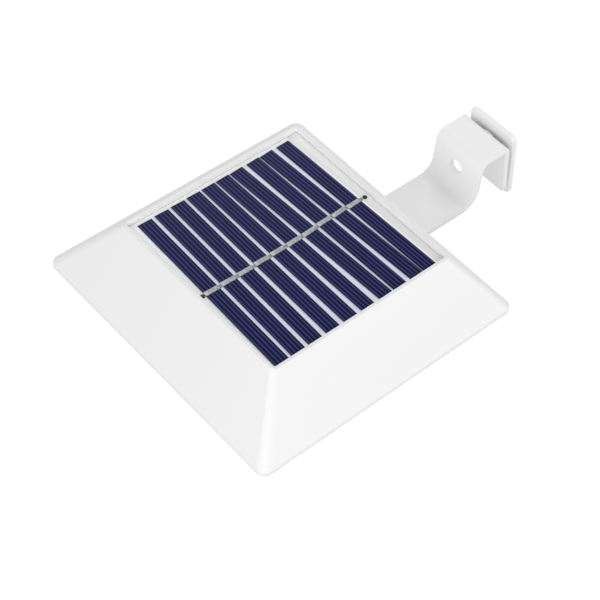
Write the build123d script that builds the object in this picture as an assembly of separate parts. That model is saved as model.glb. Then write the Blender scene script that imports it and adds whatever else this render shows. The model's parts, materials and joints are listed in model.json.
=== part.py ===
"""Solar railing light: a low square lamp under a solar panel, carried by a folded steel hook.

Sizes are in millimetres. The lamp is drawn about the centre of its foot, with the hook towards +Y,
and every piece is then shifted so that the origin lies on the hook's rail seat.
"""
import os
from math import cos, hypot, radians, sin, tan

from build123d import *

# Housing: a moulded square frustum, open below
BASE_WIDTH = 115.0
TOP_WIDTH = 79.2
HOUSING_HEIGHT = 25.0
FOOT_LIP = 2.2
FOOT_CORNER = 3.4
TOP_CORNER = 2.5
HOUSING_WALL = 2.0
ROOF_THICK = 1.8
RIM_WIDTH = 1.3
RIM_ROUND = 0.5
FOOT_ROUND = 0.6
RECESS_CORNER = 0.8
INNER_CORNER = 2.0
LEDGE_WIDTH = 4.5
LEDGE_THICK = 2.0
CORNER_BOSS_RADIUS = 3.6
CORNER_BOSS_INSET = 12.5
CORNER_BOSS_TOP = 16.0
LEAD_HOLE_RADIUS = 4.0

# Solar panel: a white laminate board with hand-laid cell strips, each with a soldered tab
CELL_DEPTH = 1.5
CELL_THICK = 0.3
BOARD_THICK = 1.2
BOARD_CLEARANCE = 0.2
BOARD_CORNER = 1.0
SEAL_THICK = 0.5
SEAL_WIDTH = 3.0
STRIP_END = 1.2
STRIP_EDGE = 2.8
STRIP_GAP = 1.25
STRIP_OFFSET_X = 0.6
STRIP_OFFSET_Y = -1.35
STRIP_TURNS = (-1.7, -1.9, -1.6, -1.0, -0.1, 1.0, 2.45, 1.6, 2.8, 1.5)
STRIP_SHIFTS = (0.0, 0.0, 0.1, 0.3, 0.4, 0.4, 0.5, 0.5, 0.35, 0.15)
TAB_OFFSETS = (0.3, 0.4, 0.55, 0.4, 0.35, 0.4, 0.3, -0.2, -0.25, -0.1)
TAB_WIDTH = 1.8
TAB_THICK = 0.15
LINK_WIDTH = 1.4
LINK_CLEARANCE = 0.1
SOLDER_RADIUS = 0.85
SOLDER_HEIGHT = 0.6
SOLDER_NEAR_INSET = 1.1
SOLDER_FAR_INSET = 2.2

# Base plate and its seal
PLATE_THICK = 2.2
PLATE_INSET = 1.5
PLATE_CORNER = 3.0
PLATE_ROUND = 0.6
SPIGOT_CLEARANCE = 0.3
SPIGOT_WALL = 1.5
SPIGOT_HEIGHT = 2.4
GASKET_WIDTH = 1.6
GASKET_THICK = 0.8
GASKET_MARGIN = 0.8

# Lamp unit: lens, reflector and circuit board
LIGHT_Y = -20.0
LENS_LENGTH = 62.0
LENS_WIDTH = 38.0
LENS_CORNER = 6.0
LENS_CLEARANCE = 0.2
LENS_FLANGE = 3.0
LENS_FLANGE_THICK = 1.2
LENS_PROUD = 1.2
LENS_ROUND = 0.8
REFLECTOR_HEIGHT = 7.2
REFLECTOR_MARGIN = 1.0
REFLECTOR_DRAW = 5.5
REFLECTOR_WALL = 1.2
BOARD_OVERHANG = 7.0
CIRCUIT_WIDTH = 36.0
CIRCUIT_THICK = 1.6
CIRCUIT_CORNER = 1.0
POST_RADIUS = 3.0
POST_GAP = 1.0
LED_LENGTH = 3.5
LED_WIDTH = 2.8
LED_HEIGHT = 0.8
LED_COLUMNS = 4
LED_ROWS = 3
LED_PITCH_X = 13.0
LED_PITCH_Y = 8.5
CHIP_LENGTH = 5.0
CHIP_WIDTH = 4.0
CHIP_HEIGHT = 1.6
CHIP_X = -12.0
COIL_RADIUS = 3.2
COIL_FLANGE = 0.6
COIL_WAIST = 2.2
COIL_HEIGHT = 4.2
COIL_X = 8.0

# Battery and its holder
BATTERY_LENGTH = 50.0
BATTERY_RADIUS = 7.1
BATTERY_NUB_RADIUS = 2.8
BATTERY_NUB = 1.2
BATTERY_ROUND = 0.6
HOLDER_WALL = 1.4
HOLDER_CORNER = 1.4
HOLDER_SIDE_CLEARANCE = 0.4
HOLDER_HEIGHT = 9.0
CONTACT_THICK = 0.4
CONTACT_WIDTH = 9.0
CONTACT_HEIGHT = 12.0
LEAF_BOW = 1.6
LEAF_SPAN = 5.0
LEAF_WIDTH = 4.5

# Slide switch on the underside
SWITCH_LENGTH = 11.0
SWITCH_WIDTH = 6.0
SWITCH_HEIGHT = 5.0
KNOB_LENGTH = 3.2
KNOB_WIDTH = 2.6
KNOB_PROUD = 1.5
KNOB_ENGAGE = 1.4
KNOB_TRAVEL = 3.0
KNOB_CLEARANCE = 0.3
KNOB_ROUND = 0.4

# Hook: one steel strap, folded
STRAP_WIDTH = 23.0
STRAP_THICK = 2.0
STRAP_CORNER = 3.0
STRAP_EDGE_ROUND = 0.3
ARM_LAP = 32.5
ARM_REACH = 26.9
HOOK_RISE = 20.2
HOOK_REACH = 14.8
LEG_LENGTH = 24.6
LEG_LEAN = 8.3
LEG_CORNER = 1.0
ARM_BEND = 6.0
SHOULDER_BEND = 2.3
FOLD_BEND = 0.3
RISER_HOLE_RADIUS = 3.0
RISER_HOLE_RISE = 10.1
STOP_LENGTH = 4.8
STOP_HEIGHT = 2.2
STOP_PROUD = 0.8
STOP_DROP = 2.6
STOP_ROUND = 0.4

# Clamp on the leg: a plate with a tapped boss, drawn in by a screw
CLAMP_GAP = 2.0
CLAMP_THICK = 2.0
CLAMP_WIDTH = 22.2
CLAMP_HEIGHT = 32.2
CLAMP_DROP = 5.8
CLAMP_CORNER = 2.5
CLAMP_ROUND = 0.4
CLAMP_BOSS_RADIUS = 2.9
CLAMP_BOSS_HEIGHT = 1.5

# Fasteners
SCREW_RADIUS = 2.0
CLAMP_SCREW_LENGTH = 10.0
CLAMP_HEAD_RADIUS = 3.8
CLAMP_HEAD_HEIGHT = 2.4
CLAMP_HEAD_GAP = 0.05
THREAD_CLEARANCE = 0.05
STRAP_HOLE_CLEARANCE = 0.25
STRAP_SCREW_INSETS = (26.5, 12.5)
STRAP_SCREW_DEPTH = 6.0
STRAP_BOSS_RADIUS = 3.6
STRAP_BOSS_HEIGHT = 7.0
STRAP_HEAD_RADIUS = 3.6
STRAP_HEAD_HEIGHT = 2.2
BASE_SCREW_RADIUS = 1.4
BASE_SCREW_DEPTH = 8.0
BASE_HEAD_RADIUS = 2.8
BASE_HEAD_DEPTH = 1.5
BASE_HOLE_CLEARANCE = 0.15
BOARD_SCREW_RADIUS = 1.2
BOARD_SCREW_DEPTH = 5.0
BOARD_HEAD_RADIUS = 2.3
BOARD_HEAD_HEIGHT = 1.6
PILOT_SPARE = 1.0
HEAD_ROUND_SHARE = 0.7
CROSS_ARM_SHARE = 0.55
CROSS_SLOT_SHARE = 0.25
CROSS_DEPTH_SHARE = 0.45

# Leads inside the lamp
LEAD_RADIUS = 0.6
LEAD_BEND = 2.5
PANEL_LEAD_X = 2.0
PANEL_LEAD_INSET = 7.0
PANEL_LEAD_SLACK = 4.0
BATTERY_LEAD_INSET = 4.0
BATTERY_LEAD_OFFSET = 2.2
LEAD_CEILING_GAP = 1.6
LEAD_WALL_GAP = 1.1
SWITCH_LEAD_PITCH = 4.0
SWITCH_LEAD_INSET = 3.0
SWITCH_LEAD_RISE = 10.0

# Levels and places that follow from the sizes above
SIDE_RUN = (BASE_WIDTH - TOP_WIDTH) / 2 / (HOUSING_HEIGHT - FOOT_LIP)
WALL_RUN = HOUSING_WALL * hypot(1, SIDE_RUN)
CELL_FACE = HOUSING_HEIGHT - CELL_DEPTH
BOARD_TOP = CELL_FACE - CELL_THICK
BOARD_UNDER = BOARD_TOP - BOARD_THICK
RECESS_FLOOR = BOARD_UNDER - SEAL_THICK
CEILING = RECESS_FLOOR - ROOF_THICK
RECESS_WIDTH = TOP_WIDTH - 2 * RIM_WIDTH
STRIP_LENGTH = RECESS_WIDTH - 2 * STRIP_END
STRIP_PITCH = (RECESS_WIDTH - 2 * STRIP_EDGE) / len(STRIP_TURNS)
STRIP_WIDTH = STRIP_PITCH - STRIP_GAP
SOLDER_NEAR_Y = SOLDER_NEAR_INSET - RECESS_WIDTH / 2
SOLDER_FAR_Y = RECESS_WIDTH / 2 - SOLDER_FAR_INSET
MOUTH_WIDTH = BASE_WIDTH - 2 * LEDGE_WIDTH
BOSS_PLACE = BASE_WIDTH / 2 - CORNER_BOSS_INSET
CORNERS = [(x, y) for x in (-BOSS_PLACE, BOSS_PLACE) for y in (-BOSS_PLACE, BOSS_PLACE)]
PLATE_UNDER = -PLATE_THICK
REFLECTOR_FOOT = LENS_FLANGE_THICK
CIRCUIT_UNDER = REFLECTOR_FOOT + REFLECTOR_HEIGHT
CIRCUIT_TOP = CIRCUIT_UNDER + CIRCUIT_THICK
FLANGE_LENGTH = LENS_LENGTH + 2 * LENS_FLANGE
FLANGE_WIDTH = LENS_WIDTH + 2 * LENS_FLANGE
POST_X = FLANGE_LENGTH / 2 + POST_GAP + POST_RADIUS
CIRCUIT_LENGTH = 2 * POST_X + BOARD_OVERHANG
CIRCUIT_BACK = LIGHT_Y + CIRCUIT_WIDTH / 2
STRAP_SCREW_Y = [BASE_WIDTH / 2 - inset for inset in STRAP_SCREW_INSETS]
LENS_BACK = LIGHT_Y + FLANGE_WIDTH / 2
STRAP_BOSS_FRONT = min(STRAP_SCREW_Y) - STRAP_BOSS_RADIUS
BATTERY_Y = (LENS_BACK + STRAP_BOSS_FRONT) / 2
BATTERY_Z = HOLDER_WALL + HOLDER_SIDE_CLEARANCE + BATTERY_RADIUS
CELL_ROOM = BATTERY_LENGTH + BATTERY_NUB + LEAF_BOW + 2 * CONTACT_THICK
HOLDER_LENGTH = CELL_ROOM + 2 * HOLDER_WALL
HOLDER_WIDTH = 2 * (BATTERY_RADIUS + HOLDER_SIDE_CLEARANCE + HOLDER_WALL)
CELL_START = -CELL_ROOM / 2 + CONTACT_THICK + LEAF_BOW
BATTERY_LEAD_LEVEL = CEILING - LEAD_CEILING_GAP - LEAD_RADIUS
SWITCH_Y = BATTERY_Y
SWITCH_LEAD_LEVEL = SWITCH_HEIGHT + SWITCH_LEAD_RISE
SWITCH_LEAD_OUT = SWITCH_LEAD_PITCH / 2 + LEAD_RADIUS + LEAD_WALL_GAP
SWITCH_WALL = BASE_WIDTH / 2 - SIDE_RUN * (SWITCH_LEAD_LEVEL - FOOT_LIP) - WALL_RUN
SWITCH_X = SWITCH_WALL - SWITCH_LEAD_OUT
ARM_START = BASE_WIDTH / 2 - ARM_LAP
RISER_FRONT = BASE_WIDTH / 2 + ARM_REACH
ARM_TOP = PLATE_UNDER
ARM_UNDER = ARM_TOP - STRAP_THICK
HOOK_TOP = ARM_TOP + HOOK_RISE
SEAT_Z = HOOK_TOP - STRAP_THICK
LEG_TILT = tan(radians(LEG_LEAN))
FOLD_Y = RISER_FRONT + HOOK_REACH
RISER_BACK = RISER_FRONT + STRAP_THICK
LEG_INNER_Y = FOLD_Y - STRAP_THICK / cos(radians(LEG_LEAN)) + STRAP_THICK * LEG_TILT
SEAT_Y = (RISER_BACK + LEG_INNER_Y) / 2
HOLE_Z = ARM_TOP + RISER_HOLE_RISE


def on_seat(piece):
    """Shift a piece so that the origin lies on the hook's rail seat."""
    return Pos(0, -SEAT_Y, -SEAT_Z) * piece


def slab(length, width, corner, low, high, y=0.0):
    """A plate with rounded corners between two heights."""
    outline = Pos(0, y, low) * RectangleRounded(length, width, corner)
    return extrude(outline, high - low)


def rod(radius, low, high, x=0.0, y=0.0):
    """An upright cylinder between two heights."""
    return extrude(Pos(x, y, low) * Circle(radius), high - low)


def housing_width(level):
    """Outer width of the sloping sides at a height."""
    return BASE_WIDTH - 2 * SIDE_RUN * (level - FOOT_LIP)


def cross_recess(radius, top):
    """The driver cross in a screw head whose crown is at the given height."""
    arm = 2 * CROSS_ARM_SHARE * radius
    slot = 2 * CROSS_SLOT_SHARE * radius
    depth = 2 * CROSS_DEPTH_SHARE * radius
    bar = Box(arm, slot, depth) + Box(slot, arm, depth)
    return Pos(0, 0, top) * bar


def pan_screw(shank_radius, length, head_radius, head_height):
    """A pan head screw, head upwards, its seat at the origin and its shank down the axis."""
    head = rod(head_radius, 0, head_height)
    head = fillet(head.edges().sort_by(Axis.Z)[-1], HEAD_ROUND_SHARE * head_height)
    return head + rod(shank_radius, -length, 0) - cross_recess(head_radius, head_height)


def countersunk_screw():
    """A countersunk screw, its flush face at the origin facing up and its shank down the axis."""
    cone = BASE_HEAD_RADIUS - BASE_SCREW_RADIUS
    profile = Polyline(
        (0, 0),
        (BASE_HEAD_RADIUS, 0),
        (BASE_HEAD_RADIUS, cone - BASE_HEAD_DEPTH),
        (BASE_SCREW_RADIUS, -BASE_HEAD_DEPTH),
        (BASE_SCREW_RADIUS, -PLATE_THICK - BASE_SCREW_DEPTH),
        (0, -PLATE_THICK - BASE_SCREW_DEPTH),
        close=True,
    )
    body = revolve(Plane.XZ * make_face(profile), Axis.Z)
    return body - cross_recess(BASE_HEAD_RADIUS, 0)


def make_housing():
    """The moulded cover: sloping sides, raised rim round the panel recess, ledge and screw bosses."""
    foot = RectangleRounded(BASE_WIDTH, BASE_WIDTH, FOOT_CORNER)
    rim = RectangleRounded(TOP_WIDTH, TOP_WIDTH, TOP_CORNER)
    sides = loft([Pos(0, 0, FOOT_LIP) * foot, Pos(0, 0, HOUSING_HEIGHT) * rim], ruled=True)
    outside = extrude(foot, FOOT_LIP) + sides

    low_width = housing_width(LEDGE_THICK) - 2 * WALL_RUN
    high_width = housing_width(CEILING) - 2 * WALL_RUN
    low_edge = Pos(0, 0, LEDGE_THICK) * RectangleRounded(low_width, low_width, INNER_CORNER)
    high_edge = Pos(0, 0, CEILING) * RectangleRounded(high_width, high_width, INNER_CORNER)
    hollow = loft([low_edge, high_edge], ruled=True)
    mouth = slab(MOUTH_WIDTH, MOUTH_WIDTH, INNER_CORNER, 0, LEDGE_THICK)
    recess = slab(RECESS_WIDTH, RECESS_WIDTH, RECESS_CORNER, RECESS_FLOOR, HOUSING_HEIGHT)
    lead_hole = rod(LEAD_HOLE_RADIUS, CEILING, RECESS_FLOOR)

    cover = outside - hollow - mouth - recess - lead_hole
    for x, y in CORNERS:
        cover += outside & rod(CORNER_BOSS_RADIUS, 0, CORNER_BOSS_TOP, x, y)
    pilot = BASE_SCREW_RADIUS + THREAD_CLEARANCE
    for x, y in CORNERS:
        cover -= rod(pilot, 0, BASE_SCREW_DEPTH + PILOT_SPARE, x, y)

    top_edges = cover.edges().group_by(Axis.Z)[-1]
    cover = fillet(top_edges, RIM_ROUND)
    foot_face = cover.faces().sort_by(Axis.Z)[0]
    return fillet(foot_face.outer_wire().edges(), FOOT_ROUND)


def make_panel_board():
    """The white laminate board that fills the recess."""
    width = RECESS_WIDTH - 2 * BOARD_CLEARANCE
    return slab(width, width, BOARD_CORNER, BOARD_UNDER, BOARD_TOP)


def make_panel_seal():
    """The ring of sealant that beds the board on the recess floor."""
    width = RECESS_WIDTH - 2 * BOARD_CLEARANCE
    hole = width - 2 * SEAL_WIDTH
    outer = slab(width, width, BOARD_CORNER, RECESS_FLOOR, BOARD_UNDER)
    return outer - slab(hole, hole, BOARD_CORNER, RECESS_FLOOR, BOARD_UNDER)


def strip_place(index):
    """Middle of a cell strip across the board."""
    middle = (len(STRIP_TURNS) - 1) / 2
    return STRIP_OFFSET_Y + STRIP_SHIFTS[index] + (index - middle) * STRIP_PITCH


def strip_seat(index):
    """A strip's own frame on the board, turned a little as the strip was laid by hand."""
    return Pos(STRIP_OFFSET_X, strip_place(index), BOARD_TOP) * Rot(0, 0, STRIP_TURNS[index])


def make_solar_cells():
    """Cell strips side by side, each in its own frame."""
    outline = Rectangle(STRIP_LENGTH, STRIP_WIDTH)
    return [extrude(strip_seat(index) * outline, CELL_THICK) for index in range(len(STRIP_TURNS))]


def link_reach(index):
    """Length of the link past a strip's edge: up to the next strip, or to the far solder joint."""
    edge = strip_place(index) + STRIP_WIDTH / 2
    if index + 1 < len(STRIP_TURNS):
        stop = strip_place(index + 1) - STRIP_WIDTH / 2
    else:
        stop = SOLDER_FAR_Y - SOLDER_RADIUS
    return stop - edge - LINK_CLEARANCE


def make_bus_ribbon():
    """The tinned tabs: a pad across each strip, and a narrower link that steps down to the board."""
    edge = STRIP_WIDTH / 2
    near = (Align.CENTER, Align.MIN)
    tabs = []
    for index, offset in enumerate(TAB_OFFSETS):
        seat = strip_seat(index) * Pos(offset, 0, 0)
        pad = extrude(seat * Pos(0, 0, CELL_THICK) * Rectangle(TAB_WIDTH, STRIP_WIDTH), TAB_THICK)
        brink = seat * Pos(0, edge, 0)
        step = extrude(brink * Rectangle(LINK_WIDTH, TAB_THICK, align=near), CELL_THICK + TAB_THICK)
        foot = extrude(brink * Rectangle(LINK_WIDTH, link_reach(index), align=near), TAB_THICK)
        tabs.append(pad + step + foot)
    return tabs


def make_solder_joints():
    """The two dark solder joints on the board, one past each end of the row of tabs."""
    top = BOARD_TOP + SOLDER_HEIGHT
    near = rod(SOLDER_RADIUS, BOARD_TOP, top, STRIP_OFFSET_X + TAB_OFFSETS[0], SOLDER_NEAR_Y)
    far = rod(SOLDER_RADIUS, BOARD_TOP, top, STRIP_OFFSET_X + TAB_OFFSETS[-1], SOLDER_FAR_Y)
    return [near, far]


def make_base_plate():
    """The floor of the lamp: spigot, gasket groove, lens window, switch slot, posts and bosses."""
    width = BASE_WIDTH - 2 * PLATE_INSET
    plate = slab(width, width, PLATE_CORNER, PLATE_UNDER, 0)
    under_edges = plate.faces().sort_by(Axis.Z)[0].edges()
    plate = fillet(under_edges, PLATE_ROUND)

    spigot_width = MOUTH_WIDTH - 2 * SPIGOT_CLEARANCE
    spigot_hole = spigot_width - 2 * SPIGOT_WALL
    plate += slab(spigot_width, spigot_width, INNER_CORNER, 0, SPIGOT_HEIGHT)
    plate -= slab(spigot_hole, spigot_hole, INNER_CORNER, 0, SPIGOT_HEIGHT)
    plate -= make_base_gasket()

    for side in (-1, 1):
        plate += rod(POST_RADIUS, 0, CIRCUIT_UNDER, side * POST_X, LIGHT_Y)
    for y in STRAP_SCREW_Y:
        plate += rod(STRAP_BOSS_RADIUS, 0, STRAP_BOSS_HEIGHT, 0, y)

    window_length = LENS_LENGTH + 2 * LENS_CLEARANCE
    window_width = LENS_WIDTH + 2 * LENS_CLEARANCE
    plate -= slab(window_length, window_width, LENS_CORNER, PLATE_UNDER, 0, LIGHT_Y)
    board_pilot = BOARD_SCREW_RADIUS + THREAD_CLEARANCE
    pilot_end = CIRCUIT_UNDER - BOARD_SCREW_DEPTH - PILOT_SPARE
    for side in (-1, 1):
        plate -= rod(board_pilot, pilot_end, CIRCUIT_UNDER, side * POST_X, LIGHT_Y)
    strap_pilot = SCREW_RADIUS + THREAD_CLEARANCE
    for y in STRAP_SCREW_Y:
        plate -= rod(strap_pilot, PLATE_UNDER, PLATE_UNDER + STRAP_SCREW_DEPTH + PILOT_SPARE, 0, y)

    sink = BASE_HEAD_RADIUS + BASE_HOLE_CLEARANCE
    hole = BASE_SCREW_RADIUS + BASE_HOLE_CLEARANCE
    cone = sink - hole
    rim_depth = BASE_HEAD_DEPTH - cone
    for x, y in CORNERS:
        plate -= rod(hole, PLATE_UNDER, 0, x, y)
        plate -= rod(sink, PLATE_UNDER, PLATE_UNDER + rim_depth, x, y)
        plate -= Pos(x, y, PLATE_UNDER + rim_depth + cone / 2) * Cone(sink, hole, cone)

    slot_length = KNOB_LENGTH + KNOB_TRAVEL + 2 * KNOB_CLEARANCE
    slot_width = KNOB_WIDTH + 2 * KNOB_CLEARANCE
    slot = Pos(SWITCH_X, SWITCH_Y, PLATE_UNDER) * Rectangle(slot_length, slot_width)
    return plate - extrude(slot, PLATE_THICK)


def make_base_gasket():
    """The rubber ring in the base plate's groove, pressed by the housing's ledge."""
    outer = BASE_WIDTH - 2 * PLATE_INSET - 2 * GASKET_MARGIN
    hole = outer - 2 * GASKET_WIDTH
    ring = slab(outer, outer, PLATE_CORNER, -GASKET_THICK, 0)
    return ring - slab(hole, hole, PLATE_CORNER, -GASKET_THICK, 0)


def make_lens():
    """The frosted lens: a window that stands proud below the plate, with a flange inside."""
    low = PLATE_UNDER - LENS_PROUD
    window = slab(LENS_LENGTH, LENS_WIDTH, LENS_CORNER, low, 0, LIGHT_Y)
    window = fillet(window.faces().sort_by(Axis.Z)[0].edges(), LENS_ROUND)
    return window + slab(FLANGE_LENGTH, FLANGE_WIDTH, LENS_CORNER, 0, LENS_FLANGE_THICK, LIGHT_Y)


def reflector_loft(inset):
    """The reflector's flared form, drawn in by an inset from its outside."""
    foot_length = FLANGE_LENGTH - 2 * REFLECTOR_MARGIN - 2 * inset
    foot_width = FLANGE_WIDTH - 2 * REFLECTOR_MARGIN - 2 * inset
    foot = RectangleRounded(foot_length, foot_width, LENS_CORNER - inset)
    draw = 2 * REFLECTOR_DRAW
    head = RectangleRounded(foot_length - draw, foot_width - draw, LENS_CORNER - inset)
    low = Pos(0, LIGHT_Y, REFLECTOR_FOOT)
    high = Pos(0, LIGHT_Y, CIRCUIT_UNDER)
    return loft([low * foot, high * head], ruled=True)


def make_reflector():
    """The white flared frame between the circuit board and the lens."""
    return reflector_loft(0) - reflector_loft(REFLECTOR_WALL)


def make_led_board():
    """The circuit board, light emitters below and driver parts above."""
    board = slab(CIRCUIT_LENGTH, CIRCUIT_WIDTH, CIRCUIT_CORNER, CIRCUIT_UNDER, CIRCUIT_TOP, LIGHT_Y)
    hole = BOARD_SCREW_RADIUS + BASE_HOLE_CLEARANCE
    for side in (-1, 1):
        board -= rod(hole, CIRCUIT_UNDER, CIRCUIT_TOP, side * POST_X, LIGHT_Y)
    return board


def make_leds():
    """A grid of surface-mounted emitters under the board."""
    grid = GridLocations(LED_PITCH_X, LED_PITCH_Y, LED_COLUMNS, LED_ROWS)
    low = CIRCUIT_UNDER - LED_HEIGHT
    return [
        extrude(Pos(0, LIGHT_Y, low) * place * Rectangle(LED_LENGTH, LED_WIDTH), LED_HEIGHT)
        for place in grid
    ]


def make_driver_chip():
    """The driver chip on the board's upper face."""
    place = Pos(CHIP_X, LIGHT_Y, CIRCUIT_TOP)
    return extrude(place * Rectangle(CHIP_LENGTH, CHIP_WIDTH), CHIP_HEIGHT)


def make_driver_coil():
    """The driver's wound inductor: a drum core with two flanges."""
    top = CIRCUIT_TOP + COIL_HEIGHT
    lower = rod(COIL_RADIUS, CIRCUIT_TOP, CIRCUIT_TOP + COIL_FLANGE, COIL_X, LIGHT_Y)
    upper = rod(COIL_RADIUS, top - COIL_FLANGE, top, COIL_X, LIGHT_Y)
    return lower + upper + rod(COIL_WAIST, CIRCUIT_TOP, top, COIL_X, LIGHT_Y)


def cell_axis(x):
    """A workplane at the battery's axis, facing +X."""
    return Plane(origin=(x, BATTERY_Y, BATTERY_Z), x_dir=(0, 1, 0), z_dir=(1, 0, 0))


def make_battery():
    """The rechargeable cell, its raised pole towards +X."""
    can = extrude(cell_axis(CELL_START) * Circle(BATTERY_RADIUS), BATTERY_LENGTH)
    can = fillet(can.edges().filter_by(GeomType.CIRCLE), BATTERY_ROUND)
    pole_start = CELL_START + BATTERY_LENGTH
    return can + extrude(cell_axis(pole_start) * Circle(BATTERY_NUB_RADIUS), BATTERY_NUB)


def make_battery_holder():
    """The open tray that holds the cell between two end walls."""
    tray = slab(HOLDER_LENGTH, HOLDER_WIDTH, HOLDER_CORNER, 0, HOLDER_HEIGHT, BATTERY_Y)
    room_width = HOLDER_WIDTH - 2 * HOLDER_WALL
    trough_plane = cell_axis(-CELL_ROOM / 2)
    trough = extrude(trough_plane * Circle(room_width / 2), CELL_ROOM)
    above = Pos(0, BATTERY_Y, BATTERY_Z) * Rectangle(CELL_ROOM, room_width)
    ends = Pos(0, BATTERY_Y, 0) * Box(HOLDER_LENGTH, room_width, 2 * CONTACT_HEIGHT)
    ends &= slab(HOLDER_LENGTH, HOLDER_WIDTH, HOLDER_CORNER, 0, CONTACT_HEIGHT, BATTERY_Y)
    pocket = Pos(0, BATTERY_Y, HOLDER_WALL) * Rectangle(CELL_ROOM, CONTACT_WIDTH)
    room = trough + extrude(above, CONTACT_HEIGHT) + extrude(pocket, CONTACT_HEIGHT)
    return tray + ends - room


def contact_strip(x, thick):
    """A flat contact standing against an end wall, from an X and along +X."""
    outline = Rectangle(thick, CONTACT_WIDTH, align=(Align.MIN, Align.CENTER))
    return extrude(Pos(x, BATTERY_Y, HOLDER_WALL) * outline, CONTACT_HEIGHT - HOLDER_WALL)


def make_contact_plate():
    """The flat contact at the raised pole."""
    return contact_strip(CELL_ROOM / 2 - CONTACT_THICK, CONTACT_THICK)


def make_contact_leaf():
    """The sprung contact: a strip whose middle bows out to press on the cell's flat end."""
    back = -CELL_ROOM / 2
    front = back + CONTACT_THICK
    low = BATTERY_Z - LEAF_SPAN / 2
    high = BATTERY_Z + LEAF_SPAN / 2
    with BuildSketch(Plane.XZ.offset(-BATTERY_Y - LEAF_WIDTH / 2)) as bow:
        with BuildLine():
            outer = ThreePointArc((front, low), (front + LEAF_BOW, BATTERY_Z), (front, high))
            Line(outer @ 1, outer @ 0)
        make_face()
    leaf = contact_strip(back, CONTACT_THICK)
    return leaf + extrude(bow.sketch, LEAF_WIDTH)


def make_switch_body():
    """The slide switch's case on the floor, with the pocket that its knob runs in."""
    place = Pos(SWITCH_X, SWITCH_Y, 0)
    case = extrude(place * Rectangle(SWITCH_LENGTH, SWITCH_WIDTH), SWITCH_HEIGHT)
    run = KNOB_LENGTH + KNOB_TRAVEL + 2 * KNOB_CLEARANCE
    pocket = place * Rectangle(run, KNOB_WIDTH + 2 * KNOB_CLEARANCE)
    return case - extrude(pocket, KNOB_ENGAGE + KNOB_CLEARANCE)


def make_switch_knob():
    """The switch's sliding knob, at the outer end of its travel."""
    low = PLATE_UNDER - KNOB_PROUD
    place = Pos(SWITCH_X + KNOB_TRAVEL / 2, SWITCH_Y, low)
    knob = extrude(place * Rectangle(KNOB_LENGTH, KNOB_WIDTH), KNOB_ENGAGE - low)
    return fillet(knob.faces().sort_by(Axis.Z)[0].edges(), KNOB_ROUND)


def lead(points):
    """An insulated wire along straight runs joined by arcs."""
    path = FilletPolyline(*points, radius=LEAD_BEND)
    section = Plane(origin=path @ 0, z_dir=path % 0) * Circle(LEAD_RADIUS)
    return sweep(section, path)


def make_panel_leads():
    """Two wires from the panel's underside, through the roof, to the circuit board."""
    pads_y = CIRCUIT_BACK - PANEL_LEAD_INSET
    turn_high = CEILING - LEAD_BEND
    turn_low = CIRCUIT_TOP + LEAD_BEND
    leads = []
    for side in (-1, 1):
        x = side * PANEL_LEAD_X
        pad_x = side * (PANEL_LEAD_X + PANEL_LEAD_SLACK)
        route = [
            (x, 0, BOARD_UNDER),
            (x, 0, turn_high),
            (pad_x, pads_y, turn_low),
            (pad_x, pads_y, CIRCUIT_TOP),
        ]
        leads.append(lead(route))
    return leads


def make_battery_leads():
    """Two wires from the tops of the battery contacts to the circuit board."""
    pads_y = CIRCUIT_BACK - BATTERY_LEAD_INSET
    start_y = BATTERY_Y - BATTERY_LEAD_OFFSET
    leads = []
    for side in (-1, 1):
        x = side * (CELL_ROOM / 2 - LEAD_RADIUS)
        route = [
            (x, start_y, CONTACT_HEIGHT),
            (x, start_y, BATTERY_LEAD_LEVEL),
            (x, pads_y, BATTERY_LEAD_LEVEL),
            (x, pads_y, CIRCUIT_TOP),
        ]
        leads.append(lead(route))
    return leads


def make_switch_leads():
    """Two wires from the switch to the circuit board."""
    pads_y = CIRCUIT_BACK - SWITCH_LEAD_INSET
    leads = []
    for side in (-1, 1):
        x = SWITCH_X + side * SWITCH_LEAD_PITCH / 2
        route = [
            (x, SWITCH_Y, SWITCH_HEIGHT),
            (x, SWITCH_Y, SWITCH_LEAD_LEVEL),
            (x, pads_y, SWITCH_LEAD_LEVEL),
            (x, pads_y, CIRCUIT_TOP),
        ]
        leads.append(lead(route))
    return leads


def make_base_screws():
    """Countersunk screws up through the base plate into the housing's bosses."""
    return [Pos(x, y, PLATE_UNDER) * Rot(180, 0, 0) * countersunk_screw() for x, y in CORNERS]


def make_strap_screws():
    """Pan head screws that hold the strap under the base plate."""
    length = STRAP_THICK + STRAP_SCREW_DEPTH
    screw = pan_screw(SCREW_RADIUS, length, STRAP_HEAD_RADIUS, STRAP_HEAD_HEIGHT)
    return [Pos(0, y, ARM_UNDER) * Rot(180, 0, 0) * screw for y in STRAP_SCREW_Y]


def make_board_screws():
    """Small screws that hold the circuit board on its posts."""
    length = CIRCUIT_THICK + BOARD_SCREW_DEPTH
    screw = pan_screw(BOARD_SCREW_RADIUS, length, BOARD_HEAD_RADIUS, BOARD_HEAD_HEIGHT)
    return [Pos(side * POST_X, LIGHT_Y, CIRCUIT_TOP) * screw for side in (-1, 1)]


def leg_plane():
    """Workplane on the leg's outer face at the clamp screw: local Z points out, local Y down the leg.

    The screw's axis stands square to the leaning leg and passes through the middle of the riser's hole.
    """
    lean = radians(LEG_LEAN)
    outward = Vector(0, cos(lean), sin(lean))
    hole = Vector(0, RISER_FRONT + STRAP_THICK / 2, HOLE_Z)
    fold = Vector(0, FOLD_Y, HOOK_TOP)
    reach = (fold - hole).dot(outward)
    return Plane(origin=hole + outward * reach, x_dir=(1, 0, 0), z_dir=outward)


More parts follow.
